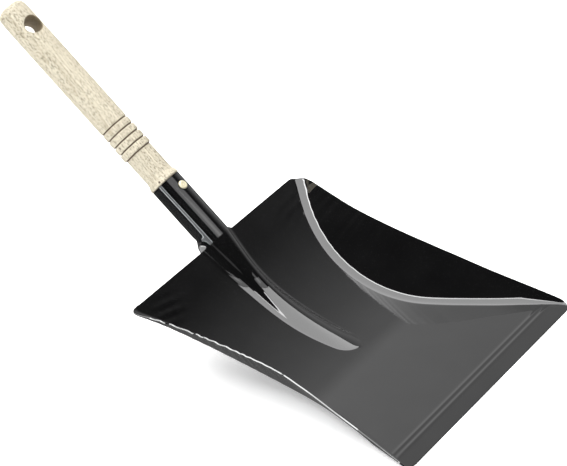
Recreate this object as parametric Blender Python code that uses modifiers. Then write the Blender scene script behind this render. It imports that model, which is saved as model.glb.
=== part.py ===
"""Hand scoop shovel: a pressed sheet-steel pan with a rolled socket, a turned handle and one rivet.

Metres. X runs across the pan, +Y from the front edge back to the handle, +Z up.
The origin is under the middle of the whole shovel, at the level of the front edge it stands on.

The pan is described by stations along the middle of its floor. Station 0 is the front edge and
PAN_LENGTH the rear edge. At each station a section lies square to the floor: x is the distance
from the middle and n the height above the floor's upper face.
"""
import bpy
import numpy as np
from mathutils import Vector
from math import asin, atan2, cos, hypot, pi, radians, sin, sqrt

# Pan
SHEET = 0.0008
FRONT_WIDTH = 0.225
REAR_WIDTH = 0.212
LIP_DEPTH = 0.0133
LIP_DROP = radians(3)
FLAT_LENGTH = 0.0952
RISE_RADIUS = 0.1654
HANDLE_TILT = radians(44.1)
REAR_RUN = 0.0207
PAN_LENGTH = FLAT_LENGTH + RISE_RADIUS * HANDLE_TILT + REAR_RUN
FRONT_CORNER = 0.009
REAR_CORNER = 0.0065
BEND_RADIUS = 0.0093
BEND_RUN_IN = 0.035

# Fold between floor and side wall: station, x
FOLD = ((0.0, FRONT_WIDTH / 2 - 0.0005), (0.056, 0.0835), (0.112, 0.0638), (0.156, 0.0627),
        (0.192, 0.0714), (0.219, 0.0842), (PAN_LENGTH, REAR_WIDTH / 2 - 0.005))
# Top edge of the side wall: station, x, n
WALL_TOP = ((0.0, FRONT_WIDTH / 2, 0.0002), (0.056, 0.1019, 0.0184), (0.112, 0.0943, 0.0346),
            (0.156, 0.0941, 0.0342), (0.192, 0.096, 0.0266), (0.2215, 0.1004, 0.0148),
            (PAN_LENGTH, REAR_WIDTH / 2, 0.0005))

# Socket and the ridge that runs from it into the pan
SOCKET_RADIUS = 0.0119
SOCKET_LENGTH = 0.055
AXIS_HEIGHT = 0.0009
SEAM_HALF_ANGLE = radians(3)
RIDGE_HEIGHT = SOCKET_RADIUS + AXIS_HEIGHT
RIDGE_TIP = 0.110
RIDGE_TIP_ROUND = 0.013
RIDGE_TIP_WIDTH = 0.17
FOOT_FILLET = 0.009
FOOT_FILLET_TIP = 0.0025
NECK_FLARE = 0.010
NECK_FOOT = sqrt(RIDGE_HEIGHT * (2 * (SOCKET_RADIUS + FOOT_FILLET) - RIDGE_HEIGHT))
# Half width of the ridge at its foot: station, x
RIDGE_FOOT = ((RIDGE_TIP, 0.0105), (0.150, 0.0126), (0.205, 0.0137), (PAN_LENGTH, NECK_FOOT))
# Height of the ridge, as a share of its height at the neck: share of its length from the tip
RIDGE_RISE = ((0.0, 0.02), (0.10, 0.165), (0.30, 0.30), (0.46, 0.385), (0.60, 0.50), (0.80, 0.74), (1.0, 1.0))
# Sheet beyond the ridge's flank at the neck: distance behind the rear edge, length of sheet
NECK_SHEET = ((0.0, 0.0106), (0.001, 0.0103), (0.0025, 0.0100), (0.005, 0.0094), (0.008, 0.0096),
              (0.011, 0.0115), (0.014, 0.0150), (0.018, 0.0200), (0.024, 0.0230))

# Handle
TENON_RADIUS = 0.0108
TENON_LENGTH = 0.035
COLLAR_RADIUS = 0.0123
WAIST_RADIUS = 0.0107
GRIP_RADIUS = 0.0115
HANDLE_LENGTH = 0.170
END_ROUND = 0.006
FIRST_GROOVE = 0.0294
GROOVE_PITCH = 0.0064
GROOVE_WIDTH = 0.0009
GROOVE_RADIUS = 0.0105
RING_RADII = (0.0121, 0.0119, 0.01175, 0.0116)
HANG_HOLE_RADIUS = 0.007
HANG_HOLE_FROM_END = 0.0223
HANG_HOLE_TURN = radians(13)
HANG_HOLE_OFF_CENTRE = 0.0009
FIT_GAP = 0.0003

# Rivet
RIVET_FROM_MOUTH = 0.0099
RIVET_HEAD_RADIUS = 0.0035
RIVET_SHANK_RADIUS = 0.0019
RIVET_SHANK_LENGTH = 0.012
RIVET_HOLE_RADIUS = RIVET_SHANK_RADIUS + FIT_GAP

# Fineness of the solids
MIDDLE_STRIP = 0.01
ROUND_STEPS = 24
CAP_STEPS, FOOT_STEPS, FLOOR_STEPS, BEND_STEPS, WALL_STEPS = 5, 6, 3, 3, 2


def smooth_through(points, at, column=1):
    """Smooth curve through points: value of a column at a station."""
    table = np.array(points)
    x, y = table[:, 0], table[:, column]
    slope = np.gradient(y, x)
    i = int(np.clip(np.searchsorted(x, at) - 1, 0, len(x) - 2))
    step = x[i + 1] - x[i]
    t = float(np.clip((at - x[i]) / step, 0, 1))
    return float((1 + 2 * t) * (1 - t) ** 2 * y[i] + t * (1 - t) ** 2 * step * slope[i]
                 + t * t * (3 - 2 * t) * y[i + 1] + t * t * (t - 1) * step * slope[i + 1])


def ease(t):
    """Smooth step from 0 to 1."""
    t = min(max(t, 0.0), 1.0)
    return t * t * (3 - 2 * t)


def middle_line(station):
    """Middle of the floor at a station: y, z and the slope of the floor there."""
    if station < LIP_DEPTH:
        ahead = LIP_DEPTH - station
        return LIP_DEPTH - ahead * cos(LIP_DROP), -ahead * sin(LIP_DROP), LIP_DROP
    if station < FLAT_LENGTH:
        return station, 0.0, 0.0
    turn = min((station - FLAT_LENGTH) / RISE_RADIUS, HANDLE_TILT)
    run = station - FLAT_LENGTH - RISE_RADIUS * turn
    y = FLAT_LENGTH + RISE_RADIUS * sin(turn) + run * cos(turn)
    z = RISE_RADIUS * (1 - cos(turn)) + run * sin(turn)
    return y, z, turn


def on_section(station, x, n):
    """Point x from the middle and n above the floor's upper face at a station."""
    y, z, tilt = middle_line(station)
    return x, y - n * sin(tilt), z + n * cos(tilt)


def arc(cx, cn, radius, start, stop, steps=16):
    """Points of an arc in a section; angles from straight up, clockwise."""
    angles = np.linspace(start, stop, steps)
    return [(cx + radius * sin(a), cn + radius * cos(a)) for a in angles]


def ridge_shape(station):
    """Height, foot half width, foot fillet and cap radius of the ridge at a station."""
    along = (station - RIDGE_TIP) / (PAN_LENGTH - RIDGE_TIP)
    height = RIDGE_HEIGHT * smooth_through(RIDGE_RISE, along)
    fillet = FOOT_FILLET_TIP + (FOOT_FILLET - FOOT_FILLET_TIP) * ease(along)
    from_tip = min((station - RIDGE_TIP) / RIDGE_TIP_ROUND, 1.0)
    blunt = max(sqrt(1 - (1 - from_tip) ** 2), RIDGE_TIP_WIDTH)
    foot = smooth_through(RIDGE_FOOT, station) * blunt
    cap = (foot ** 2 + height ** 2) / (2 * height) - fillet
    return height, foot, fillet, cap


def ridge_half(station):
    """Cap and foot fillet of the ridge, from its crest to the floor."""
    height, foot, fillet, cap = ridge_shape(station)
    centre = height - cap
    lean = atan2(foot, fillet - centre)
    crest = arc(0.0, centre, cap, 0.0, lean)
    base = arc(foot, fillet, fillet, lean + pi, pi)
    return crest, base


def flat_half(station):
    """Flat middle ahead of the ridge, split as the ridge is."""
    at_tip = smooth_through(RIDGE_FOOT, RIDGE_TIP) * RIDGE_TIP_WIDTH
    foot = at_tip + (MIDDLE_STRIP - at_tip) * (RIDGE_TIP - station) / RIDGE_TIP
    split = foot * CAP_STEPS / (CAP_STEPS + FOOT_STEPS)
    return [(0.0, 0.0), (split, 0.0)], [(split, 0.0), (foot, 0.0)]


def wall_half(station):
    """Bend and side wall, from the fold to the top edge."""
    fold = smooth_through(FOLD, station)
    top_x = smooth_through(WALL_TOP, station)
    top_n = smooth_through(WALL_TOP, station, 2)
    radius = BEND_RADIUS * min(max(station / BEND_RUN_IN, 0.02), 1.0)
    dx, dn = top_x - fold, top_n - radius
    reach = max(hypot(dx, dn), radius * 1.0001)
    rise = max(atan2(dn, dx) + asin(radius / reach), 0.001)
    bend = arc(fold, radius, radius, pi, pi - rise)
    return bend, [bend[-1], (top_x, top_n)]


def pan_half(station):
    """Segments of half a pan section, from the middle to the top edge of the wall."""
    crest, base = ridge_half(station) if station > RIDGE_TIP else flat_half(station)
    bend, wall = wall_half(station)
    return [crest, base, [base[-1], bend[0]], bend, wall]


def corner_trim(station):
    """How much shorter a section is where the corners are rounded."""
    trim = 0.0
    for radius, edge in ((FRONT_CORNER, station), (REAR_CORNER, PAN_LENGTH - station)):
        if edge < radius:
            trim += radius - sqrt(radius ** 2 - (radius - edge) ** 2)
    return trim


def along_segments(segments, steps, trim):
    """Points spread along segments, with the last part drawn in by trim."""
    path = [segments[0][0]]
    marks = [0.0]
    for segment, count in zip(segments, steps):
        lengths = np.cumsum(np.hypot(*np.diff(np.array(segment), axis=0).T))
        start = marks[-1]
        marks += list(start + lengths[-1] * np.arange(1, count + 1) / count)
        path += segment[1:]
    path = np.array(path)
    travelled = np.concatenate([[0.0], np.cumsum(np.hypot(*np.diff(path, axis=0).T))])
    marks = np.array(marks)
    fixed = marks[steps[0] + steps[1]] if len(steps) > 2 else 0.0
    beyond = marks > fixed
    shrink = (marks[-1] - trim - fixed) / (marks[-1] - fixed)
    marks[beyond] = fixed + (marks[beyond] - fixed) * shrink
    return np.column_stack([np.interp(marks, travelled, path[:, k]) for k in (0, 1)])


def socket_half(behind):
    """Half a socket section: the cap, then the sheet that flares out at the neck or wraps under."""
    centre = AXIS_HEIGHT
    lean = atan2(NECK_FOOT, FOOT_FILLET - centre)
    crest = arc(0.0, centre, SOCKET_RADIUS, 0.0, lean)
    full_wrap = (pi - SEAM_HALF_ANGLE - lean) * SOCKET_RADIUS
    length = min(smooth_through(NECK_SHEET, behind), full_wrap)
    turned = ease(behind / NECK_FLARE)
    curvature = turned / SOCKET_RADIUS - (1 - turned) / FOOT_FILLET
    flap = [crest[-1]]
    steps = 24
    heading = lean
    for _ in range(steps):
        heading += curvature * length / steps / 2
        x, n = flap[-1]
        flap.append((x + cos(heading) * length / steps, n - sin(heading) * length / steps))
        heading += curvature * length / steps / 2
    return [crest, flap]


def pan_stations():
    """Stations of the pan's sections, closer at the corners and at the ridge's tip."""
    front = [0.0, 0.0006, 0.002, FRONT_CORNER, LIP_DEPTH]
    floor = list(np.linspace(0.027, 0.095, 5)) + [FLAT_LENGTH, RIDGE_TIP]
    tip = [RIDGE_TIP + step for step in (0.0006, 0.0025, 0.006, RIDGE_TIP_ROUND)]
    rise = list(np.linspace(0.131, PAN_LENGTH - REAR_CORNER, 13))
    rear = [PAN_LENGTH - step for step in (0.0035, 0.0014, 0.0004, 0.0)]
    return front + floor + tip + rise + rear


def socket_stations():
    """Distances of the socket's sections behind the rear edge."""
    return [0.001, 0.003, 0.005, 0.008, 0.011, 0.014, 0.017, 0.020, 0.024, 0.040, SOCKET_LENGTH]


def blade_half_mesh():
    """Half of the sheet's upper face, lofted from section to section."""
    verts, faces, rows = [], [], []
    pan_steps = (CAP_STEPS, FOOT_STEPS, FLOOR_STEPS, BEND_STEPS, WALL_STEPS)
    for station in pan_stations():
        points = along_segments(pan_half(station), pan_steps, corner_trim(station))
        rows.append([on_section(station, x, n) for x, n in points])
    for behind in socket_stations():
        points = along_segments(socket_half(behind), (CAP_STEPS, FOOT_STEPS), 0.0)
        rows.append([on_section(PAN_LENGTH + behind, x, n) for x, n in points])
    starts = []
    for row in rows:
        starts.append(len(verts))
        verts += row
    for here, there, row in zip(starts, starts[1:], rows[1:]):
        for k in range(len(row) - 1):
            faces.append((here + k, here + k + 1, there + k + 1, there + k))
    mesh = bpy.data.meshes.new("blade")
    mesh.from_pydata(verts, [], faces)
    return mesh


def plain_material(name, colour, roughness, metallic):
    """Principled material of one colour."""
    material = bpy.data.materials.new(name)
    material.use_nodes = True
    shader = material.node_tree.nodes["Principled BSDF"]
    shader.inputs["Base Color"].default_value = (*colour, 1.0)
    shader.inputs["Roughness"].default_value = roughness
    shader.inputs["Metallic"].default_value = metallic
    return material


def add_object(name, mesh, collection, frame, material=None):
    """Object in a collection, placed in the shovel's frame."""
    thing = bpy.data.objects.new(name, mesh)
    collection.objects.link(thing)
    thing.parent = frame
    if material:
        mesh.materials.append(material)
    return thing


def turned(name, profile, collection, frame, material):
    """Turned piece: a profile of (radius, height) points, top to bottom, spun about its own Z."""
    mesh = bpy.data.meshes.new(name)
    edges = [(k, k + 1) for k in range(len(profile) - 1)]
    mesh.from_pydata([(r, 0.0, h) for r, h in profile], edges, [])
    piece = add_object(name, mesh, collection, frame, material)
    screw = piece.modifiers.new("spin", "SCREW")
    screw.steps = ROUND_STEPS
    screw.render_steps = ROUND_STEPS
    screw.use_merge_vertices = True
    screw.merge_threshold = 0.00001
    screw.use_smooth_shade = True
    return piece


def round_cutter(name, radius, length, collection, frame):
    """Cylinder along its own Z that cuts a hole."""
    bpy.ops.mesh.primitive_cylinder_add(vertices=ROUND_STEPS, radius=radius, depth=length)
    cutter = bpy.context.active_object
    cutter.name = name
    for owner in list(cutter.users_collection):
        owner.objects.unlink(cutter)
    collection.objects.link(cutter)
    cutter.parent = frame
    cutter.hide_render = True
    cutter.display_type = "WIRE"
    return cutter


def cut(piece, cutter):
    """Cut a hole with a Boolean."""
    hole = piece.modifiers.new(cutter.name, "BOOLEAN")
    hole.operation = "DIFFERENCE"
    hole.solver = "EXACT"
    hole.object = cutter


def on_axis(behind, above=0.0):
    """Point of the handle's axis behind the rear edge, and above it in the plane of symmetry."""
    return on_section(PAN_LENGTH + behind, 0.0, AXIS_HEIGHT + above)


def ring_points():
    """Profile of the grooved rings, from the grip down to the waist."""
    points = []
    for k in range(len(RING_RADII), -1, -1):
        groove = FIRST_GROOVE + k * GROOVE_PITCH
        points.append((GROOVE_RADIUS, groove + GROOVE_WIDTH / 2))
        points.append((GROOVE_RADIUS, groove - GROOVE_WIDTH / 2))
        if k > 0:
            half = (GROOVE_PITCH - GROOVE_WIDTH) / 2
            middle = groove - GROOVE_PITCH / 2
            for t in (0.98, 0.6, -0.6, -0.98):
                points.append((RING_RADII[k - 1] - 0.0004 * t * t, middle + half * t))
    return points


def handle_profile():
    """Half profile of the handle, heights from the socket's mouth, end first."""
    centre = HANDLE_LENGTH - END_ROUND
    tip = GRIP_RADIUS - 0.0002
    end = [(tip - END_ROUND + r, centre + h) for r, h in arc(0.0, 0.0, END_ROUND, 0.0, pi / 2, 6)]
    last_groove = FIRST_GROOVE + len(RING_RADII) * GROOVE_PITCH
    grip = [(GRIP_RADIUS + 0.0001, 0.115), (GRIP_RADIUS, last_groove + 0.0016),
            (GRIP_RADIUS - 0.0003, last_groove + GROOVE_WIDTH)]
    waist = [(WAIST_RADIUS + 0.0002, FIRST_GROOVE - GROOVE_WIDTH), (WAIST_RADIUS, 0.018),
             (WAIST_RADIUS, 0.0085)]
    collar = [(WAIST_RADIUS + 0.0003, 0.0062), (WAIST_RADIUS + 0.0009, 0.0043),
              (COLLAR_RADIUS, 0.0026), (COLLAR_RADIUS, 0.0011), (COLLAR_RADIUS - 0.0006, FIT_GAP)]
    tenon = [(TENON_RADIUS, FIT_GAP), (TENON_RADIUS, 0.001 - TENON_LENGTH),
             (TENON_RADIUS - 0.001, -TENON_LENGTH), (0.0, -TENON_LENGTH)]
    return [(0.0, HANDLE_LENGTH)] + end + grip + ring_points() + waist + collar + tenon


def rivet_profile():
    """Half profile of the rivet, heights from the top of the socket."""
    seat = FIT_GAP
    head = [(0.0, seat + 0.0007), (0.0011, seat + 0.0007), (0.0016, seat + 0.0011), (0.0024, seat + 0.0011),
            (0.0031, seat + 0.0008), (RIVET_HEAD_RADIUS, seat + 0.0003), (RIVET_HEAD_RADIUS, seat)]
    shank = [(RIVET_SHANK_RADIUS, seat), (RIVET_SHANK_RADIUS, 0.0008 - RIVET_SHANK_LENGTH),
             (0.0011, -RIVET_SHANK_LENGTH), (0.0, -RIVET_SHANK_LENGTH)]
    return head + shank


def make_blade(collection, cutters, frame):
    """Pan, ridge and socket: one pressed and rolled sheet with a hole for the rivet."""
    lacquer = plain_material("black_lacquer", (0.012, 0.012, 0.013), 0.15, 0.0)
    blade = add_object("blade", blade_half_mesh(), collection, frame, lacquer)
    mirror = blade.modifiers.new("other_half", "MIRROR")
    mirror.use_axis[0] = True
    mirror.merge_threshold = 0.00001
    sheet = blade.modifiers.new("sheet", "SOLIDIFY")
    sheet.thickness = SHEET
    sheet.offset = -1.0
    hole = round_cutter("rivet_hole_in_socket", RIVET_HOLE_RADIUS, 0.006, cutters, frame)
    hole.location = on_axis(SOCKET_LENGTH - RIVET_FROM_MOUTH, SOCKET_RADIUS)
    hole.rotation_euler = (HANDLE_TILT, 0.0, 0.0)
    cut(blade, hole)
    return blade


def make_handle(collection, cutters, frame):
    """Turned handle with its tenon in the socket, a hang hole and a hole for the rivet.

    The hang hole is drilled a little off centre and turned about the handle's axis.
    """
    wood = plain_material("pale_wood", (0.75, 0.68, 0.54), 0.6, 0.0)
    handle = turned("handle", handle_profile(), collection, frame, wood)
    handle.location = on_axis(SOCKET_LENGTH)
    handle.rotation_euler = (HANDLE_TILT - pi / 2, 0.0, 0.0)
    hang = round_cutter("hang_hole", HANG_HOLE_RADIUS, 0.04, cutters, frame)
    hang.rotation_mode = "ZYX"
    hang.rotation_euler = (HANDLE_TILT, -HANG_HOLE_TURN, 0.0)
    middle = on_axis(SOCKET_LENGTH + HANDLE_LENGTH - HANG_HOLE_FROM_END)
    aside = hang.rotation_euler.to_matrix().col[0]
    hang.location = Vector(middle) + HANG_HOLE_OFF_CENTRE * aside
    cut(handle, hang)
    depth = RIVET_SHANK_LENGTH + 0.001
    pilot = round_cutter("rivet_hole_in_tenon", RIVET_HOLE_RADIUS, 2 * depth, cutters, frame)
    pilot.location = on_axis(SOCKET_LENGTH - RIVET_FROM_MOUTH, SOCKET_RADIUS)
    pilot.rotation_euler = (HANDLE_TILT, 0.0, 0.0)
    cut(handle, pilot)
    return handle


def make_rivet(collection, frame):
    """Rivet through the top of the socket into the tenon."""
    brass = plain_material("pale_brass", (0.83, 0.76, 0.52), 0.3, 1.0)
    rivet = turned("rivet", rivet_profile(), collection, frame, brass)
    rivet.location = on_axis(SOCKET_LENGTH - RIVET_FROM_MOUTH, SOCKET_RADIUS)
    rivet.rotation_euler = (HANDLE_TILT, 0.0, 0.0)
    return rivet


def rearmost():
    """Furthest point back of the handle."""
    _, mouth, _ = on_axis(SOCKET_LENGTH)
    return mouth + max(h * cos(HANDLE_TILT) + r * sin(HANDLE_TILT) for r, h in handle_profile())


def main():
    for thing in list(bpy.data.objects):
        bpy.data.objects.remove(thing)
    shovel = bpy.data.collections.new("hand_scoop_shovel")
    cutters = bpy.data.collections.new("cutters")
    bpy.context.scene.collection.children.link(shovel)
    bpy.context.scene.collection.children.link(cutters)
    frame = bpy.data.objects.new("shovel_frame", None)
    shovel.objects.link(frame)
    _, front_y, front_z = on_section(0.0, 0.0, -SHEET)
    foremost = min(front_y, on_section(0.0, 0.0, 0.0)[1])
    frame.location = (0.0, -(foremost + rearmost()) / 2, -front_z)
    make_blade(shovel, cutters, frame)
    make_handle(shovel, cutters, frame)
    make_rivet(shovel, frame)


main()
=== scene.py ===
"""Hand scoop shovel: the fine shapes, the finishes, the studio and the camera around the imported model.

Metres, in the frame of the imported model: X across the pan, +Y from the front edge back to the
handle, +Z up. The pan is described by stations along the middle of its floor: station 0 is the
front edge and PAN_LENGTH the rear edge. At each station a section lies square to the floor, where
x is the distance from the middle and n the height above the floor's upper face.
"""

from math import asin, atan2, cos, exp, hypot, pi, radians, sin, sqrt

import bmesh
import bpy
import numpy as np
from mathutils import Matrix, Vector


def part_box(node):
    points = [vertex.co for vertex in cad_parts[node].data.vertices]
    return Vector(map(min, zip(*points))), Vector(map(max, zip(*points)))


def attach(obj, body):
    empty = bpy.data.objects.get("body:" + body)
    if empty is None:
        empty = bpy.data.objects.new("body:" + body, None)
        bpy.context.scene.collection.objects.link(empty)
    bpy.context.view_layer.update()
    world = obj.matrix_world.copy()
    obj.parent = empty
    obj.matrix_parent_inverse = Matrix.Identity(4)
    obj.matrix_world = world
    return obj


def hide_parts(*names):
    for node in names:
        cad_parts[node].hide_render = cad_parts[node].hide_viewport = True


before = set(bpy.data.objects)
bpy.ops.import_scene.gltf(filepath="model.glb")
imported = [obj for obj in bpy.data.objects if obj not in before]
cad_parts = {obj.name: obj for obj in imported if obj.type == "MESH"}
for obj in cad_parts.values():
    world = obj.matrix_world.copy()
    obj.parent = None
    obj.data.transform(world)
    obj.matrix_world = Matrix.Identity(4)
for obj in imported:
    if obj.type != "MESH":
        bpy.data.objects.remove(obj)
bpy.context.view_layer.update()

# Pan
SHEET = 0.0008
FRONT_WIDTH = 0.2243
REAR_WIDTH = 0.212
LIP_DEPTH = 0.0133
LIP_DROP = radians(3)
BEAD_PLACE = 0.0165
BEAD_PITCH = 0.0045
BEAD_WIDTH = 0.0014
BEAD_HEIGHT = 0.00022
BEAD_HALF_LENGTH = 0.098
BEAD_FADE = 0.006
FLAT_LENGTH = 0.0952
RISE_RADIUS = 0.1654
HANDLE_TILT = radians(44.1)
REAR_RUN = 0.0207
PAN_LENGTH = FLAT_LENGTH + RISE_RADIUS * HANDLE_TILT + REAR_RUN
FRONT_CORNER = 0.009
REAR_CORNER_LEFT = 0.0065
REAR_CORNER_RIGHT = 0.0125
BEND_RADIUS = 0.0093
BEND_RUN_IN = 0.035

# Fold between floor and side wall: station, x
FOLD = ((0.0, FRONT_WIDTH / 2 - 0.0005), (0.056, 0.0835), (0.112, 0.0638), (0.156, 0.0627),
        (0.192, 0.0714), (0.219, 0.0842), (PAN_LENGTH, REAR_WIDTH / 2 - 0.005))
# Top edge of the side wall: station, x, n
WALL_TOP = ((0.0, FRONT_WIDTH / 2, 0.0002), (0.056, 0.1019, 0.0184), (0.112, 0.0943, 0.0346),
            (0.156, 0.0941, 0.0342), (0.192, 0.096, 0.0266), (0.2215, 0.1004, 0.0148),
            (PAN_LENGTH, REAR_WIDTH / 2, 0.0005))

# Wrinkles that the press leaves along the top of the walls, and by the rear corners
WRINKLE_LENGTH = 0.009
WRINKLE_DEPTH_LEFT = 0.0004
WRINKLE_DEPTH_RIGHT = 0.0003
WRINKLE_START = 0.095
WRINKLE_FULL = 0.19
WRINKLE_LEFT_SHIFT = 1.9
CORNER_FOLD_DEPTH = 0.0003
CORNER_FOLD_PITCH = 0.0085

# Socket and the ridge that runs from it into the pan
SOCKET_RADIUS = 0.0119
SOCKET_LENGTH = 0.055
AXIS_HEIGHT = 0.0009
SEAM_HALF_ANGLE = radians(3)
RIDGE_HEIGHT = SOCKET_RADIUS + AXIS_HEIGHT
RIDGE_TIP = 0.110
RIDGE_TIP_ROUND = 0.013
RIDGE_TIP_WIDTH = 0.17
FOOT_FILLET = 0.009
FOOT_FILLET_TIP = 0.0025
NECK_FLARE = 0.010
NECK_FOOT = sqrt(RIDGE_HEIGHT * (2 * (SOCKET_RADIUS + FOOT_FILLET) - RIDGE_HEIGHT))
MIDDLE_STRIP = 0.01
# Half width of the ridge at its foot: station, x
RIDGE_FOOT = ((RIDGE_TIP, 0.0105), (0.150, 0.0126), (0.205, 0.0137), (PAN_LENGTH, NECK_FOOT))
# Height of the ridge, as a share of its height at the neck: share of its length from the tip
RIDGE_RISE = ((0.0, 0.02), (0.10, 0.165), (0.30, 0.30), (0.46, 0.385), (0.60, 0.50), (0.80, 0.74),
              (1.0, 1.0))
# Sheet beyond the ridge's flank at the neck: distance behind the rear edge, length of sheet
NECK_SHEET = ((0.0, 0.0106), (0.001, 0.0103), (0.0025, 0.0100), (0.005, 0.0094), (0.008, 0.0096),
              (0.011, 0.0115), (0.014, 0.0150), (0.018, 0.0200), (0.024, 0.0230))

# Handle
TENON_RADIUS = 0.0108
TENON_LENGTH = 0.035
COLLAR_RADIUS = 0.0123
WAIST_RADIUS = 0.0107
GRIP_RADIUS = 0.0115
HANDLE_LENGTH = 0.1699
END_ROUND = 0.006
FIRST_GROOVE = 0.0294
GROOVE_PITCH = 0.0064
GROOVE_WIDTH = 0.0007
GROOVE_RADIUS = 0.0105
RING_RADII = (0.0121, 0.0119, 0.01175, 0.0116)
HANG_HOLE_RADIUS = 0.007
HANG_HOLE_FROM_END = 0.0222
HANG_HOLE_TURN = radians(13)
HANG_HOLE_OFF_CENTRE = 0.0009
HANG_HOLE_EDGE = 0.0004
FIT_GAP = 0.0003
# Knots: place on the handle, radius
KNOTS = (((-0.0103, -0.0066, 0.0025), 0.0009), ((-0.0118, -0.0011, 0.0394), 0.0008))

# Rivet
RIVET_FROM_MOUTH = 0.0099
RIVET_HEAD_RADIUS = 0.0035
RIVET_SHANK_RADIUS = 0.0019
RIVET_SHANK_LENGTH = 0.012

# Fineness of the meshes
CAP_STEPS, FOOT_STEPS, FLOOR_STEPS, BEND_STEPS, WALL_STEPS = 12, 12, 12, 14, 10
TURNED_STEPS = 96
EDGE_ROUND = 0.0002

# Camera
VIEW_AZIMUTH = radians(-52.8)
VIEW_ELEVATION = radians(30.14)
VIEW_ROLL = radians(-7.1)
VIEW_DISTANCE = 2.0118
VIEW_AIM = (0.0, 0.110, 0.020)
VIEW_SIDE = 0.05149
VIEW_RISE = -0.06377
LENS_MM = 181.45027
SENSOR_MM = 36.0


def smooth_through(points, at, column=1):
    """Smooth curve through points: value of a column at a station."""
    table = np.array(points)
    x, y = table[:, 0], table[:, column]
    slope = np.gradient(y, x)
    i = int(np.clip(np.searchsorted(x, at) - 1, 0, len(x) - 2))
    step = x[i + 1] - x[i]
    t = float(np.clip((at - x[i]) / step, 0, 1))
    return float((1 + 2 * t) * (1 - t) ** 2 * y[i] + t * (1 - t) ** 2 * step * slope[i]
                 + t * t * (3 - 2 * t) * y[i + 1] + t * t * (t - 1) * step * slope[i + 1])


def ease(t):
    """Smooth step from 0 to 1."""
    t = min(max(t, 0.0), 1.0)
    return t * t * (3 - 2 * t)


def bell(t):
    """Bell curve, 1 at 0 and nearly 0 beyond 2."""
    return exp(-t * t)


def middle_line(station):
    """Middle of the floor at a station: y, z and the slope of the floor there."""
    if station < LIP_DEPTH:
        ahead = LIP_DEPTH - station
        return LIP_DEPTH - ahead * cos(LIP_DROP), -ahead * sin(LIP_DROP), LIP_DROP
    if station < FLAT_LENGTH:
        return station, 0.0, 0.0
    turn = min((station - FLAT_LENGTH) / RISE_RADIUS, HANDLE_TILT)
    run = station - FLAT_LENGTH - RISE_RADIUS * turn
    y = FLAT_LENGTH + RISE_RADIUS * sin(turn) + run * cos(turn)
    z = RISE_RADIUS * (1 - cos(turn)) + run * sin(turn)
    return y, z, turn


def design_shift():
    """From the pan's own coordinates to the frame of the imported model."""
    _, front_y, front_z = on_section(0.0, 0.0, -SHEET)
    foremost = min(front_y, on_section(0.0, 0.0, 0.0)[1])
    low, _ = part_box("blade")
    return Vector((0.0, low.y - foremost, low.z - front_z))


def on_section(station, x, n):
    """Point x from the middle and n above the floor's upper face at a station."""
    y, z, tilt = middle_line(station)
    return x, y - n * sin(tilt), z + n * cos(tilt)


def on_axis(behind, above=0.0):
    """Point of the handle's axis behind the rear edge, and above it in the plane of symmetry."""
    return SHIFT + Vector(on_section(PAN_LENGTH + behind, 0.0, AXIS_HEIGHT + above))


SHIFT = design_shift()


# ---------------------------------------------------------------- blade

def arc(cx, cn, radius, start, stop, steps=24):
    """Points of an arc in a section; angles from straight up, clockwise."""
    angles = np.linspace(start, stop, steps)
    return [(cx + radius * sin(a), cn + radius * cos(a)) for a in angles]


def ridge_half(station):
    """Cap and foot fillet of the ridge, from its crest to the floor."""
    along = (station - RIDGE_TIP) / (PAN_LENGTH - RIDGE_TIP)
    from_tip = min((station - RIDGE_TIP) / RIDGE_TIP_ROUND, 1.0)
    blunt = max(sqrt(1 - (1 - from_tip) ** 2), RIDGE_TIP_WIDTH)
    height = RIDGE_HEIGHT * smooth_through(RIDGE_RISE, along)
    fillet = FOOT_FILLET_TIP + (FOOT_FILLET - FOOT_FILLET_TIP) * ease(along)
    foot = smooth_through(RIDGE_FOOT, station) * blunt
    cap = (foot ** 2 + height ** 2) / (2 * height) - fillet
    centre = height - cap
    lean = atan2(foot, fillet - centre)
    crest = arc(0.0, centre, cap, 0.0, lean)
    base = arc(foot, fillet, fillet, lean + pi, pi)
    return crest, base


def flat_half(station):
    """Flat middle ahead of the ridge, split as the ridge is."""
    at_tip = smooth_through(RIDGE_FOOT, RIDGE_TIP) * RIDGE_TIP_WIDTH
    foot = at_tip + (MIDDLE_STRIP - at_tip) * ease((RIDGE_TIP - station) / RIDGE_TIP_ROUND)
    split = foot * CAP_STEPS / (CAP_STEPS + FOOT_STEPS)
    return [(0.0, 0.0), (split, 0.0)], [(split, 0.0), (foot, 0.0)]


def wall_half(station):
    """Bend and side wall, from the fold to the top edge."""
    fold = smooth_through(FOLD, station)
    top_x = smooth_through(WALL_TOP, station)
    top_n = smooth_through(WALL_TOP, station, 2)
    radius = BEND_RADIUS * min(max(station / BEND_RUN_IN, 0.02), 1.0)
    dx, dn = top_x - fold, top_n - radius
    reach = max(hypot(dx, dn), radius * 1.0001)
    rise = max(atan2(dn, dx) + asin(radius / reach), 0.001)
    bend = arc(fold, radius, radius, pi, pi - rise)
    return bend, [bend[-1], (top_x, top_n)]


def pan_half(station):
    """Segments of half a pan section, from the middle to the top edge of the wall."""
    crest, base = ridge_half(station) if station > RIDGE_TIP else flat_half(station)
    bend, wall = wall_half(station)
    return [crest, base, [base[-1], bend[0]], bend, wall]


def corner_trim(station, side):
    """How much shorter a section is where the corners are rounded."""
    trim = 0.0
    rear_corner = REAR_CORNER_RIGHT if side > 0 else REAR_CORNER_LEFT
    for radius, edge in ((FRONT_CORNER, station), (rear_corner, PAN_LENGTH - station)):
        if edge < radius:
            trim += radius - sqrt(radius ** 2 - (radius - edge) ** 2)
    return trim


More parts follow.
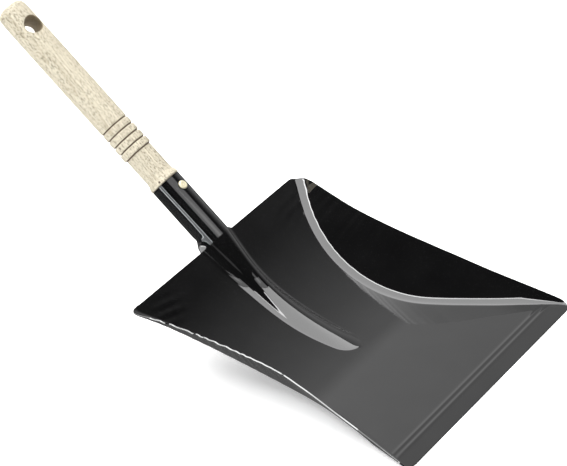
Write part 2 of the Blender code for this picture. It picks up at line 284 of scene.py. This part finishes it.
def along_segments(segments, steps, trim):
    """Points spread along segments, with the last part drawn in by trim."""
    path = [segments[0][0]]
    marks = [0.0]
    for segment, count in zip(segments, steps):
        lengths = np.cumsum(np.hypot(*np.diff(np.array(segment), axis=0).T))
        start = marks[-1]
        marks += list(start + lengths[-1] * np.arange(1, count + 1) / count)
        path += segment[1:]
    path = np.array(path)
    travelled = np.concatenate([[0.0], np.cumsum(np.hypot(*np.diff(path, axis=0).T))])
    marks = np.array(marks)
    fixed = marks[steps[0] + steps[1]] if len(steps) > 2 else 0.0
    beyond = marks > fixed
    shrink = (marks[-1] - trim - fixed) / (marks[-1] - fixed)
    marks[beyond] = fixed + (marks[beyond] - fixed) * shrink
    return np.column_stack([np.interp(marks, travelled, path[:, k]) for k in (0, 1)])


def socket_half(behind):
    """Half a socket section: the cap, then the sheet that flares out at the neck or wraps under."""
    centre = AXIS_HEIGHT
    lean = atan2(NECK_FOOT, FOOT_FILLET - centre)
    crest = arc(0.0, centre, SOCKET_RADIUS, 0.0, lean)
    full_wrap = (pi - SEAM_HALF_ANGLE - lean) * SOCKET_RADIUS
    length = min(smooth_through(NECK_SHEET, behind), full_wrap)
    turned_in = ease(behind / NECK_FLARE)
    curvature = turned_in / SOCKET_RADIUS - (1 - turned_in) / FOOT_FILLET
    flap = [crest[-1]]
    steps = 24
    heading = lean
    for _ in range(steps):
        heading += curvature * length / steps / 2
        x, n = flap[-1]
        flap.append((x + cos(heading) * length / steps, n - sin(heading) * length / steps))
        heading += curvature * length / steps / 2
    return [crest, flap]


def lip_bead(station, x):
    """Height of the two faint pressed beads behind the lip."""
    behind, ahead = BEAD_PLACE + BEAD_PITCH / 2, BEAD_PLACE - BEAD_PITCH / 2
    along = bell((station - behind) / BEAD_WIDTH) + bell((station - ahead) / BEAD_WIDTH)
    across = 1 - ease((abs(x) - BEAD_HALF_LENGTH) / BEAD_FADE)
    return BEAD_HEIGHT * along * across


def wall_wrinkle(station, side, up_wall):
    """Depth of the wrinkles at a point of the wall; up_wall is 0 at the fold and 1 at the top."""
    strength = ease((station - WRINKLE_START) / (WRINKLE_FULL - WRINKLE_START))
    phase = 2 * pi * station / WRINKLE_LENGTH + (0.0 if side > 0 else WRINKLE_LEFT_SHIFT)
    uneven = 1.3 * sin(2 * pi * station / 0.037 + side)
    swell = 0.75 + 0.25 * sin(2 * pi * station / 0.023 + 2.0 * side)
    depth = WRINKLE_DEPTH_RIGHT if side > 0 else WRINKLE_DEPTH_LEFT
    return depth * strength * swell * up_wall ** 2 * sin(phase + uneven)


def corner_fold(station, x):
    """Short shallow folds in the floor that run towards the rear corners."""
    place = bell((station - (PAN_LENGTH - 0.016)) / 0.009) * bell((abs(x) - 0.077) / 0.008)
    across = abs(x) - 0.3 * (PAN_LENGTH - station)
    return CORNER_FOLD_DEPTH * place * sin(2 * pi * across / CORNER_FOLD_PITCH)


def pressed(station, side, points):
    """Section points with the marks of the press added."""
    fold_index = CAP_STEPS + FOOT_STEPS + FLOOR_STEPS
    last = len(points) - 1
    slopes = np.gradient(points, axis=0)
    lengths = np.maximum(np.hypot(slopes[:, 0], slopes[:, 1]), 1e-9)
    marked = []
    for k, (x, n) in enumerate(points):
        up_wall = max(k - fold_index, 0) / (last - fold_index)
        lift = wall_wrinkle(station, side, up_wall) + corner_fold(station, x)
        normal_x, normal_n = -slopes[k, 1] / lengths[k], slopes[k, 0] / lengths[k]
        marked.append((side * (x + lift * normal_x), n + lift * normal_n + lip_bead(station, x)))
    return marked


def pan_stations():
    """Stations of the pan's sections, closer at the corners, the lip and the ridge's tip."""
    front = [FRONT_CORNER * (1 - cos(t)) for t in np.linspace(0, pi / 2, 8)]
    lip = list(np.arange(FRONT_CORNER + 0.0005, 0.024, 0.0005))
    floor = list(np.arange(0.026, RIDGE_TIP - 0.001, 0.0022)) + [RIDGE_TIP]
    tip = [RIDGE_TIP + RIDGE_TIP_ROUND * (1 - cos(t)) for t in np.linspace(0.06, pi / 2, 14)]
    rise = list(np.arange(RIDGE_TIP + RIDGE_TIP_ROUND + 0.0015, PAN_LENGTH - REAR_CORNER_RIGHT, 0.0015))
    rear = [PAN_LENGTH - REAR_CORNER_RIGHT * (1 - cos(t)) for t in np.linspace(pi / 2, 0, 14)]
    return front + lip + floor + tip + rise + rear


def blade_mesh():
    """The sheet's upper face, lofted from section to section across both sides."""
    verts, faces, rows = [], [], []
    pan_steps = (CAP_STEPS, FOOT_STEPS, FLOOR_STEPS, BEND_STEPS, WALL_STEPS)
    for station in pan_stations():
        left, right = [pressed(station, side, along_segments(pan_half(station), pan_steps,
                                                             corner_trim(station, side)))
                       for side in (-1, 1)]
        rows.append([on_section(station, x, n) for x, n in left[:0:-1] + right])
    behind_edge = list(np.linspace(0.0006, 0.026, 32)) + list(np.linspace(0.028, SOCKET_LENGTH, 14))
    for behind in behind_edge:
        half = along_segments(socket_half(behind), (CAP_STEPS, FOOT_STEPS), 0.0)
        row = [(-x, n) for x, n in half[:0:-1]] + [(x, n) for x, n in half]
        rows.append([on_section(PAN_LENGTH + behind, x, n) for x, n in row])
    starts = []
    for row in rows:
        starts.append(len(verts))
        verts += [Vector(point) + SHIFT for point in row]
    for here, there, row, next_row in zip(starts, starts[1:], rows, rows[1:]):
        inset = (len(row) - len(next_row)) // 2
        for k in range(len(next_row) - 1):
            faces.append((here + inset + k, here + inset + k + 1, there + k + 1, there + k))
    mesh = bpy.data.meshes.new("blade_sheet")
    mesh.from_pydata(verts, [], faces)
    mesh.shade_smooth()
    return mesh


def make_blade():
    """Pan, ridge and socket of one lacquered sheet."""
    blade = bpy.data.objects.new("lacquered_blade", blade_mesh())
    bpy.context.scene.collection.objects.link(blade)
    sheet = blade.modifiers.new("sheet", "SOLIDIFY")
    sheet.thickness = SHEET
    sheet.offset = -1.0
    edge = blade.modifiers.new("edge", "BEVEL")
    edge.width = EDGE_ROUND
    edge.segments = 2
    edge.limit_method = "ANGLE"
    edge.angle_limit = radians(50)
    blade.modifiers.new("even_shading", "WEIGHTED_NORMAL")
    blade.data.materials.append(black_lacquer())
    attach(blade, "root")
    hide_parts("blade")


# ---------------------------------------------------------------- turned pieces

def spun(name, profile, place, tilt):
    """Turned piece: a profile of (radius, height) points, top to bottom, spun about its own Z."""
    mesh = bpy.data.meshes.new(name)
    edges = [(k, k + 1) for k in range(len(profile) - 1)]
    mesh.from_pydata([(r, 0.0, h) for r, h in profile], edges, [])
    piece = bpy.data.objects.new(name, mesh)
    bpy.context.scene.collection.objects.link(piece)
    piece.location = place
    piece.rotation_euler = (tilt, 0.0, 0.0)
    screw = piece.modifiers.new("spin", "SCREW")
    screw.steps = TURNED_STEPS
    screw.render_steps = TURNED_STEPS
    screw.use_merge_vertices = True
    screw.merge_threshold = 0.00001
    screw.use_smooth_shade = True
    return piece


def apply_modifiers(piece):
    """Makes the evaluated mesh the piece's own."""
    bpy.context.view_layer.update()
    evaluated = piece.evaluated_get(bpy.context.evaluated_depsgraph_get())
    mesh = bpy.data.meshes.new_from_object(evaluated)
    piece.modifiers.clear()
    piece.data = mesh


def apply_place(piece):
    """Moves the mesh to the piece's place and the piece to the origin."""
    piece.data.transform(piece.matrix_basis)
    piece.matrix_basis = Matrix.Identity(4)


def ring_points():
    """Profile of the grooved rings, from the grip down to the waist."""
    points = []
    half = (GROOVE_PITCH - GROOVE_WIDTH) / 2
    for k in range(len(RING_RADII), -1, -1):
        groove = FIRST_GROOVE + k * GROOVE_PITCH
        points.append((GROOVE_RADIUS, groove + GROOVE_WIDTH * 0.2))
        points.append((GROOVE_RADIUS, groove - GROOVE_WIDTH * 0.2))
        if k > 0:
            middle = groove - GROOVE_PITCH / 2
            crown = RING_RADII[k - 1] - GROOVE_RADIUS
            for t in np.linspace(1, -1, 25):
                points.append((GROOVE_RADIUS + crown * (1 - abs(t) ** 5) ** 0.3, middle + half * t))
    return points


def handle_profile():
    """Half profile of the handle, heights from the socket's mouth, end first."""
    centre = HANDLE_LENGTH - END_ROUND
    tip = GRIP_RADIUS - 0.0002
    end = [(tip - END_ROUND + r, centre + h) for r, h in arc(0.0, 0.0, END_ROUND, 0.0, pi / 2, 14)]
    last_groove = FIRST_GROOVE + len(RING_RADII) * GROOVE_PITCH
    shoulder = last_groove + GROOVE_WIDTH / 2
    grip = [(GRIP_RADIUS + 0.0001 * sin(pi * t), centre + (shoulder + 0.0012 - centre) * t)
            for t in np.linspace(0.03, 1, 60)]
    grip += [(GRIP_RADIUS - 0.0007 * (1 - cos(t)), shoulder + 0.0012 * (1 - sin(t)))
             for t in np.linspace(0.3, pi / 2, 5)]
    first = FIRST_GROOVE - GROOVE_WIDTH / 2
    waist = [(WAIST_RADIUS - 0.0002, first), (WAIST_RADIUS + 0.00005, first - 0.0003),
             (WAIST_RADIUS + 0.0001, first - 0.0009)]
    waist += [(WAIST_RADIUS + 0.0001 * (1 - t), first - 0.0009 + (0.0085 + 0.0009 - first) * t)
              for t in np.linspace(0.1, 1, 14)]
    flare = [(WAIST_RADIUS + (COLLAR_RADIUS - WAIST_RADIUS) * t ** 2.2, 0.0085 - 0.0059 * t)
             for t in np.linspace(0.1, 1, 14)]
    collar = [(COLLAR_RADIUS, 0.0011), (COLLAR_RADIUS - 0.0001, 0.0008), (COLLAR_RADIUS - 0.0006, FIT_GAP)]
    tenon = [(TENON_RADIUS, FIT_GAP), (TENON_RADIUS, 0.001 - TENON_LENGTH),
             (TENON_RADIUS - 0.001, -TENON_LENGTH), (0.0, -TENON_LENGTH)]
    return [(0.0, HANDLE_LENGTH)] + end + grip + ring_points() + waist + flare + collar + tenon


def from_hole_axis(point):
    """Distance of a point of the handle from the hang hole's axis, in the handle's own coordinates."""
    across = point.x * cos(HANG_HOLE_TURN) - point.y * sin(HANG_HOLE_TURN) - HANG_HOLE_OFF_CENTRE
    return hypot(across, point.z - (HANDLE_LENGTH - HANG_HOLE_FROM_END))


def drill_hang_hole(handle):
    """Cuts the hang hole through the grip and rounds its edges a little."""
    bpy.ops.mesh.primitive_cylinder_add(vertices=TURNED_STEPS, radius=HANG_HOLE_RADIUS, depth=0.04)
    cutter = bpy.context.active_object
    cutter.rotation_mode = "ZYX"
    cutter.rotation_euler = (HANDLE_TILT, -HANG_HOLE_TURN, 0.0)
    aside = cutter.rotation_euler.to_matrix().col[0]
    middle = on_axis(SOCKET_LENGTH + HANDLE_LENGTH - HANG_HOLE_FROM_END)
    cutter.location = middle + HANG_HOLE_OFF_CENTRE * aside
    hole = handle.modifiers.new("hang_hole", "BOOLEAN")
    hole.operation = "DIFFERENCE"
    hole.solver = "EXACT"
    hole.object = cutter
    apply_modifiers(handle)
    bpy.data.objects.remove(cutter)
    body = bmesh.new()
    body.from_mesh(handle.data)
    rim = []
    for edge in body.edges:
        off_axis = [abs(from_hole_axis(v.co) - HANG_HOLE_RADIUS) for v in edge.verts]
        sharp = len(edge.link_faces) == 2 and edge.calc_face_angle() > radians(60)
        if max(off_axis) < 0.00005 and sharp:
            rim.append(edge)
    bmesh.ops.bevel(body, geom=rim, offset=HANG_HOLE_EDGE, segments=3, profile=0.5, affect="EDGES")
    body.to_mesh(handle.data)
    body.free()
    handle.data.shade_smooth()
    handle.data.set_sharp_from_angle(angle=radians(35))


def mark_burn_and_shade(mesh):
    """Marks the bottoms of the grooves, which the turning burns brown, and paints shade on the collar and
    tenon where they sit in the socket's mouth.
    """
    burn_and_shade = mesh.attributes.new("burn_and_shade", "FLOAT", "POINT")
    last = FIRST_GROOVE + len(RING_RADII) * GROOVE_PITCH
    for vertex, mark in zip(mesh.vertices, burn_and_shade.data):
        x, y, h = vertex.co
        radius = hypot(x, y)
        in_grooves = FIRST_GROOVE - GROOVE_PITCH / 2 < h < last + GROOVE_PITCH / 2
        if in_grooves:
            nearest = round((h - FIRST_GROOVE) / GROOVE_PITCH)
            away = abs(h - FIRST_GROOVE - nearest * GROOVE_PITCH)
            mark.value = 1.0 - ease((away - 0.0002) / 0.0004)
        # painted shade where the collar and tenon sit in the socket's mouth
        elif h < FIT_GAP + 0.0004 and radius > TENON_RADIUS - 0.001:
            mark.value = 0.6


def make_handle():
    """Turned handle with its tenon in the socket and a hang hole."""
    handle = spun("turned_handle", handle_profile(), on_axis(SOCKET_LENGTH), HANDLE_TILT - pi / 2)
    drill_hang_hole(handle)
    mark_burn_and_shade(handle.data)
    apply_place(handle)
    handle.data.materials.clear()
    handle.data.materials.append(pale_wood())
    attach(handle, "root")
    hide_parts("handle")


def rivet_profile():
    """Half profile of the rivet, heights from the top of the socket."""
    seat = FIT_GAP
    rim = [(0.0, 0.0008), (0.0009, 0.0008), (0.0012, 0.00072), (0.0015, 0.00084), (0.0018, 0.0009),
           (0.0023, 0.00092), (0.0028, 0.00088), (0.0031, 0.00077), (0.0033, 0.0006), (0.0034, 0.00038)]
    head = [(r, seat + h) for r, h in rim]
    head += [(RIVET_HEAD_RADIUS, seat + 0.0001), (RIVET_HEAD_RADIUS - 0.0001, seat)]
    shank = [(RIVET_SHANK_RADIUS, seat), (RIVET_SHANK_RADIUS, 0.0008 - RIVET_SHANK_LENGTH),
             (0.0011, -RIVET_SHANK_LENGTH), (0.0, -RIVET_SHANK_LENGTH)]
    return head + shank


def make_rivet():
    """Rivet through the top of the socket into the tenon."""
    place = on_axis(SOCKET_LENGTH - RIVET_FROM_MOUTH, SOCKET_RADIUS)
    rivet = spun("brass_rivet", rivet_profile(), place, HANDLE_TILT)
    apply_modifiers(rivet)
    apply_place(rivet)
    rivet.data.set_sharp_from_angle(angle=radians(40))
    rivet.data.materials.append(pale_brass())
    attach(rivet, "root")
    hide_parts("rivet")


# ---------------------------------------------------------------- materials

class Nodes:
    """Short way to add and link the nodes of one material."""

    def __init__(self, name, place=(0.0, 0.0, 0.0), tilt=0.0):
        self.material = bpy.data.materials.new(name)
        self.material.use_nodes = True
        self.tree = self.material.node_tree
        self.shader = self.tree.nodes["Principled BSDF"]
        where = self.add("ShaderNodeTexCoord").outputs["Object"]
        own = self.add("ShaderNodeMapping", Vector=where, Location=place, Rotation=(tilt, 0.0, 0.0))
        own.vector_type = "TEXTURE"
        self.position = own.outputs["Vector"]

    def add(self, kind, **values):
        """Node with sockets set by name, or linked where the value is another socket."""
        node = self.tree.nodes.new(kind)
        for name, value in values.items():
            self.set(node.inputs[name.replace("_", " ")], value)
        return node

    def set(self, socket, value):
        """Sets a socket, or links it."""
        if isinstance(value, bpy.types.NodeSocket):
            self.tree.links.new(value, socket)
        else:
            socket.default_value = value

    def scaled(self, scale, offset=(0.0, 0.0, 0.0), turn=(0.0, 0.0, 0.0)):
        """Object position, scaled, moved and turned."""
        mapping = self.add("ShaderNodeMapping", Vector=self.position, Scale=scale, Location=offset)
        mapping.inputs["Rotation"].default_value = turn
        return mapping.outputs["Vector"]

    def noise(self, vector, scale=1.0, detail=3.0, roughness=0.5):
        """Noise between 0 and 1."""
        return self.add("ShaderNodeTexNoise", Vector=vector, Scale=scale, Detail=detail,
                        Roughness=roughness).outputs["Fac"]

    def remap(self, value, low, high, to_low=0.0, to_high=1.0):
        """Value spread from low..high to to_low..to_high, clamped."""
        node = self.tree.nodes.new("ShaderNodeMapRange")
        for name, number in (("Value", value), ("From Min", low), ("From Max", high),
                             ("To Min", to_low), ("To Max", to_high)):
            self.set(node.inputs[name], number)
        return node.outputs["Result"]

    def math(self, operation, a, b=0.0):
        """Math node."""
        node = self.tree.nodes.new("ShaderNodeMath")
        node.operation = operation
        self.set(node.inputs[0], a)
        self.set(node.inputs[1], b)
        return node.outputs["Value"]

    def mix(self, factor, a, b):
        """Colour between a and b."""
        node = self.tree.nodes.new("ShaderNodeMix")
        node.data_type = "RGBA"
        self.set(node.inputs["Factor"], factor)
        self.set(node.inputs["A"], (*a, 1.0) if isinstance(a, tuple) else a)
        self.set(node.inputs["B"], (*b, 1.0) if isinstance(b, tuple) else b)
        return node.outputs["Result"]

    def distance(self, point, scale=(1.0, 1.0, 1.0), position=None):
        """Distance from a point, with each direction scaled."""
        offset = tuple(-p * s for p, s in zip(point, scale))
        mapping = self.add("ShaderNodeMapping", Vector=position or self.position, Scale=scale,
                           Location=offset)
        node = self.tree.nodes.new("ShaderNodeVectorMath")
        node.operation = "LENGTH"
        self.tree.links.new(mapping.outputs["Vector"], node.inputs[0])
        return node.outputs["Value"]

    def bump(self, height, strength, depth):
        """Bump from a height, linked to the shader."""
        node = self.add("ShaderNodeBump", Height=height, Strength=strength, Distance=depth)
        self.tree.links.new(node.outputs["Normal"], self.shader.inputs["Normal"])

    def finish(self, **sockets):
        """Sets the shader's sockets and returns the material."""
        for name, value in sockets.items():
            self.set(self.shader.inputs[name.replace("_", " ")], value)
        return self.material


def black_lacquer():
    """Gloss black stoving lacquer: soft cloudy gloss, faint orange peel, a little dust and fine rubbing."""
    n = Nodes("gloss_black_lacquer")
    cloud = n.noise(n.scaled((1, 1, 1)), scale=38, detail=4)
    rub = n.noise(n.scaled((900, 60, 60), turn=(0, 0, 0.4)), detail=2)
    speck = n.noise(n.scaled((1, 1, 1)), scale=1400, detail=1)
    dust = n.math("MULTIPLY", n.remap(speck, 0.70, 0.78), n.remap(cloud, 0.45, 0.7, 0.0, 0.35))
    colour = n.mix(n.remap(cloud, 0.3, 0.7), (0.0030, 0.0030, 0.0032), (0.0050, 0.0050, 0.0052))
    colour = n.mix(dust, colour, (0.05, 0.05, 0.05))
    gloss = n.math("ADD", n.remap(cloud, 0.3, 0.75, 0.03, 0.055), n.remap(rub, 0.55, 0.8, 0.0, 0.03))
    peel = n.noise(n.scaled((1, 1, 1)), scale=420, detail=2)
    n.bump(peel, 0.05, 0.0002)
    return n.finish(Base_Color=colour, Roughness=gloss, IOR=1.8)


def pale_wood():
    """Sanded pale hardwood: growth lines, fine lengthwise grain, pores, small knots and burnt grooves, with
    painted shade in the hang hole and at the collar by the socket's mouth.
    """
    n = Nodes("sanded_pale_wood", on_axis(SOCKET_LENGTH), HANDLE_TILT - pi / 2)
    streak = n.noise(n.scaled((420, 420, 14)), detail=4, roughness=0.6)
    fibre = n.noise(n.scaled((1500, 1500, 60)), detail=3, roughness=0.65)
    cloud = n.noise(n.scaled((60, 60, 12)), detail=2)
    wander = n.noise(n.scaled((24, 24, 9)), detail=2)
    pith = n.scaled((1, 1, 1), offset=(0.030, 0.012, 0.0), turn=(0.035, -0.05, 0.0))
    apart = n.tree.nodes.new("ShaderNodeSeparateXYZ")
    n.tree.links.new(pith, apart.inputs[0])
    across = n.math("MULTIPLY", apart.outputs["X"], apart.outputs["X"])
    deep = n.math("MULTIPLY", apart.outputs["Y"], apart.outputs["Y"])
    radius = n.math("SQRT", n.math("ADD", across, deep))
    growth = n.math("ADD", n.math("MULTIPLY", radius, 520.0), n.math("MULTIPLY", wander, 1.6))
    line = n.remap(n.math("FRACT", growth), 0.55, 1.0)
    pore_spot = n.noise(n.scaled((1400, 1400, 450)), detail=2)
    pore = n.math("MULTIPLY", n.remap(pore_spot, 0.54, 0.60), n.remap(cloud, 0.35, 0.6, 0.6, 1.0))
    colour = n.mix(n.remap(streak, 0.3, 0.7), (0.70, 0.65, 0.52), (0.56, 0.51, 0.39))
    colour = n.mix(n.math("MULTIPLY", line, 0.55), colour, (0.38, 0.32, 0.22))
    colour = n.mix(n.remap(fibre, 0.42, 0.72, 0.0, 0.55), colour, (0.36, 0.30, 0.22))
    colour = n.mix(n.math("MULTIPLY", pore, 0.85), colour, (0.16, 0.135, 0.09))
    colour = n.mix(knots(n), colour, (0.08, 0.05, 0.03))
    # painted shade: the wall of the hang hole is coloured dark brown
    colour = n.mix(n.remap(hole_distance(n), 0.0069, 0.0073, 0.9, 0.0), colour, (0.17, 0.115, 0.045))
    # burnt grooves, plus painted shade at the collar by the socket's mouth
    burn_and_shade = n.add("ShaderNodeAttribute")
    burn_and_shade.attribute_name = "burn_and_shade"
    colour = n.mix(burn_and_shade.outputs["Fac"], colour, (0.075, 0.038, 0.018))
    height = n.math("ADD", n.math("MULTIPLY", fibre, 0.5), n.math("MULTIPLY", pore, -1.0))
    n.bump(height, 0.35, 0.00025)
    roughness = n.remap(fibre, 0.3, 0.7, 0.52, 0.68)
    return n.finish(Base_Color=colour, Roughness=roughness, IOR=1.45)


def hole_distance(n):
    """Distance from the hang hole's axis."""
    own = n.add("ShaderNodeMapping", Vector=n.position, Rotation=(0.0, 0.0, HANG_HOLE_TURN))
    middle = (HANG_HOLE_OFF_CENTRE, 0.0, HANDLE_LENGTH - HANG_HOLE_FROM_END)
    return n.distance(middle, (1.0, 0.0, 1.0), own.outputs["Vector"])


def knots(n):
    """Small dark knots at fixed places on the handle."""
    both = 0.0
    for place, size in KNOTS:
        spot = n.remap(n.distance(place, scale=(1.0, 1.0, 0.7)), size * 0.5, size, 1.0, 0.0)
        both = n.math("MAXIMUM", spot, both)
    return both


def pale_brass():
    """Satin brass: dulled in the ring mark, with turning marks and a fine haze."""
    place = on_axis(SOCKET_LENGTH - RIVET_FROM_MOUTH, SOCKET_RADIUS)
    n = Nodes("satin_pale_brass", place, HANDLE_TILT)
    haze = n.noise(n.scaled((1, 1, 1)), scale=900, detail=3)
    off_centre = n.distance((0.0, 0.0, 0.0), scale=(1.0, 1.0, 0.0))
    ring_mark = n.remap(n.math("ABSOLUTE", n.math("SUBTRACT", off_centre, 0.0012)), 0.0, 0.0003, 1.0, 0.0)
    colour = n.mix(n.remap(haze, 0.35, 0.7), (0.90, 0.84, 0.62), (0.82, 0.75, 0.52))
    colour = n.mix(n.math("MULTIPLY", ring_mark, 0.6), colour, (0.36, 0.29, 0.16))
    rings = n.math("SINE", n.math("MULTIPLY", off_centre, 22000.0))
    n.bump(rings, 0.12, 0.00002)
    roughness = n.remap(haze, 0.3, 0.7, 0.42, 0.55)
    return n.finish(Base_Color=colour, Roughness=roughness, Metallic=0.7)


def pale_floor():
    """Plain pale studio floor that glows a little, which softens the shadow."""
    n = Nodes("pale_floor")
    fine = n.noise(n.scaled((1, 1, 1)), scale=300, detail=2)
    colour = n.mix(fine, (0.88, 0.88, 0.88), (0.90, 0.90, 0.90))
    return n.finish(Base_Color=colour, Roughness=0.7, Emission_Color=colour, Emission_Strength=0.45)


# ---------------------------------------------------------------- studio

def make_floor():
    """Large flat floor under the shovel; reflections don't show it."""
    bpy.ops.mesh.primitive_plane_add(size=14.0, location=(0.0, 0.0, 0.0))
    floor = bpy.context.active_object
    floor.name = "studio_floor"
    floor.data.materials.append(pale_floor())
    floor.visible_glossy = False


def softbox(name, centre, normal, size_x, size_y, radiance, tint=(1.0, 1.0, 1.0), turn=0.0):
    """Rectangular light that shines along its normal, turned about it; the camera doesn't see it."""
    light = bpy.data.lights.new(name, "AREA")
    light.shape = "RECTANGLE"
    light.size = size_x
    light.size_y = size_y
    light.energy = radiance * pi * size_x * size_y
    light.color = tint
    lamp = bpy.data.objects.new(name, light)
    bpy.context.scene.collection.objects.link(lamp)
    lamp.location = centre
    aim = Vector(normal).to_track_quat("-Z", "Y").to_matrix() @ Matrix.Rotation(turn, 3, "Z")
    lamp.rotation_euler = aim.to_euler()
    lamp.visible_camera = False


def make_lights():
    """Overhead softbox with a dim front and a bright left edge, a low window at the left with bright
    borders, a strip in front and a dim card at the rear."""
    softbox("overhead", (0.44, 1.04, 4.0), (0, 0, -1), 5.68, 7.52, 3.5)
    softbox("overhead_front", (-0.4, -3.2, 3.98), (0, 0, -1), 4.8, 0.95, 1.2)
    softbox("overhead_edge", (-2.45, 0.4, 3.95), (0, 0, -1), 0.65, 5.3, 9.0, turn=radians(-14.7))
    cool = (0.93, 0.97, 1.0)
    softbox("left_window", (-0.75, 0.15, 0.12), (1, 0, 0), 0.5, 0.19, 1.6, cool)
    softbox("left_window_top", (-0.74, 0.15, 0.215), (1, 0, 0), 0.5, 0.02, 9.0, cool)
    softbox("left_window_foot", (-0.74, 0.15, 0.025), (1, 0, 0), 0.5, 0.02, 12.0, cool)
    softbox("front_strip", (-0.2, -1.82, 2.0), (0.1, 0.92, -1), 0.85, 0.34, 0.9)
    softbox("rear_card", (-1.5, 2.1, 1.05), (0.55, -0.8, -0.38), 1.2, 0.9, 0.5)


def map_range(tree, low, high, to_low, to_high):
    """Node that spreads low..high to to_low..to_high."""
    node = tree.nodes.new("ShaderNodeMapRange")
    node.inputs["From Min"].default_value = low
    node.inputs["From Max"].default_value = high
    node.inputs["To Min"].default_value = to_low
    node.inputs["To Max"].default_value = to_high
    return node


def make_world():
    """Studio surroundings: bright towards the right rear, dark towards the left front and below."""
    world = bpy.data.worlds.new("studio")
    bpy.context.scene.world = world
    world.use_nodes = True
    tree = world.node_tree
    background = tree.nodes["Background"]
    direction = tree.nodes.new("ShaderNodeTexCoord").outputs["Generated"]
    facing = tree.nodes.new("ShaderNodeVectorMath")
    facing.operation = "DOT_PRODUCT"
    facing.inputs[1].default_value = (0.8, 0.6, 0.0)
    tree.links.new(direction, facing.inputs[0])
    spread = map_range(tree, 0.2, 0.75, 0.03, 0.62)
    tree.links.new(facing.outputs["Value"], spread.inputs["Value"])
    apart = tree.nodes.new("ShaderNodeSeparateXYZ")
    tree.links.new(direction, apart.inputs["Vector"])
    rear = map_range(tree, 0.40, 0.70, 1.0, 2.2)
    tree.links.new(apart.outputs["Y"], rear.inputs["Value"])
    both = tree.nodes.new("ShaderNodeMath")
    both.operation = "MULTIPLY"
    tree.links.new(spread.outputs["Result"], both.inputs[0])
    tree.links.new(rear.outputs["Result"], both.inputs[1])
    below = map_range(tree, -0.02, -0.10, 0.0, 1.0)
    tree.links.new(apart.outputs["Z"], below.inputs["Value"])
    under = tree.nodes.new("ShaderNodeMix")
    under.inputs["B"].default_value = 0.15
    tree.links.new(below.outputs["Result"], under.inputs["Factor"])
    tree.links.new(both.outputs["Value"], under.inputs["A"])
    seen = tree.nodes.new("ShaderNodeMix")
    seen.inputs["B"].default_value = 0.92
    path = tree.nodes.new("ShaderNodeLightPath")
    tree.links.new(path.outputs["Is Camera Ray"], seen.inputs["Factor"])
    tree.links.new(under.outputs["Result"], seen.inputs["A"])
    tree.links.new(seen.outputs["Result"], background.inputs["Strength"])
    background.inputs["Color"].default_value = (1.0, 1.0, 1.0, 1.0)


def make_camera():
    """Camera on the left of the front edge, looking down at the pan."""
    back = Vector((sin(VIEW_AZIMUTH) * cos(VIEW_ELEVATION), -cos(VIEW_AZIMUTH) * cos(VIEW_ELEVATION),
                   sin(VIEW_ELEVATION)))
    right = Vector((cos(VIEW_AZIMUTH), sin(VIEW_AZIMUTH), 0.0))
    up = back.cross(right)
    across = cos(VIEW_ROLL) * right + sin(VIEW_ROLL) * up
    upward = cos(VIEW_ROLL) * up - sin(VIEW_ROLL) * right
    data = bpy.data.cameras.new("camera")
    data.sensor_width = SENSOR_MM
    data.lens = LENS_MM
    camera = bpy.data.objects.new("camera", data)
    bpy.context.scene.collection.objects.link(camera)
    place = SHIFT + Vector(VIEW_AIM) - VIEW_SIDE * across - VIEW_RISE * upward + VIEW_DISTANCE * back
    camera.matrix_world = Matrix.Translation(place) @ Matrix((across, upward, back)).transposed().to_4x4()
    bpy.context.scene.camera = camera


def main():
    make_camera()
    make_blade()
    make_handle()
    make_rivet()
    make_floor()
    make_lights()
    make_world()
    bpy.context.scene.view_settings.view_transform = "Standard"


main()
